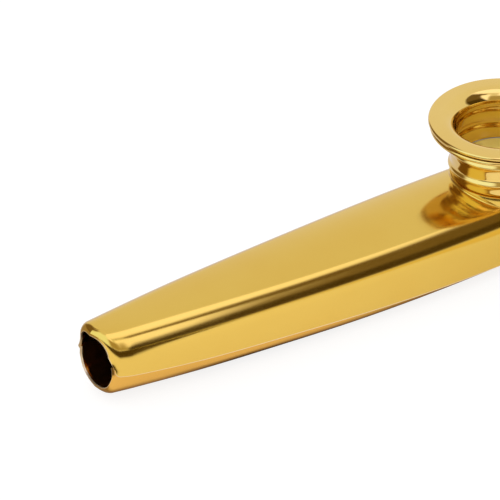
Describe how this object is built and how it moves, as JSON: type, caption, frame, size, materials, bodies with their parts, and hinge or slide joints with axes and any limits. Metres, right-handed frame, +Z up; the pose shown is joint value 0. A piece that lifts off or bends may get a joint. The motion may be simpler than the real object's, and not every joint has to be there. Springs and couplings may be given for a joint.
{
  "type": "kazoo",
  "caption": "Gold-coloured pressed metal kazoo with a screw-capped turret, nested body shells and a vibrating membrane.",
  "frame": {"origin": "centre of the bounding box's bottom face, under the middle of the body, on the surface that the kazoo stands on", "axes": "+X runs along the body from the narrow outlet to the wide mouth end, +Z is up along the turret, +Y completes the right-handed frame"},
  "size_m": [0.12, 0.025, 0.0243],
  "materials": {
    "gold_metal": "polished sheet with a gold-coloured coat",
    "ring_plastic": "satin",
    "film_plastic": "thin translucent film"
  },
  "bodies": {
    "kazoo_body": {"upper_shell": "gold_metal", "lower_shell": "gold_metal", "turret_socket": "gold_metal"},
    "diaphragm": {"membrane_ring": "ring_plastic", "membrane_film": "film_plastic"},
    "cap": {"screw_cap": "gold_metal"}
  },
  "joints": [
    {"name": "diaphragm_lift", "type": "slide", "parent": "kazoo_body", "child": "diaphragm", "axis": [0, 0, 1], "range_m": [0, 0.0085]},
    {"name": "cap_turn", "type": "hinge", "parent": "diaphragm", "child": "cap", "pos_m": [0.0183, 0, 0.02], "axis": [0, 0, 1], "range_deg": [0, 900]}
  ],
  "couplings": [
    {"joint": "diaphragm_lift", "follows": "cap_turn", "m_per_rad": 0.00054113}
  ]
}
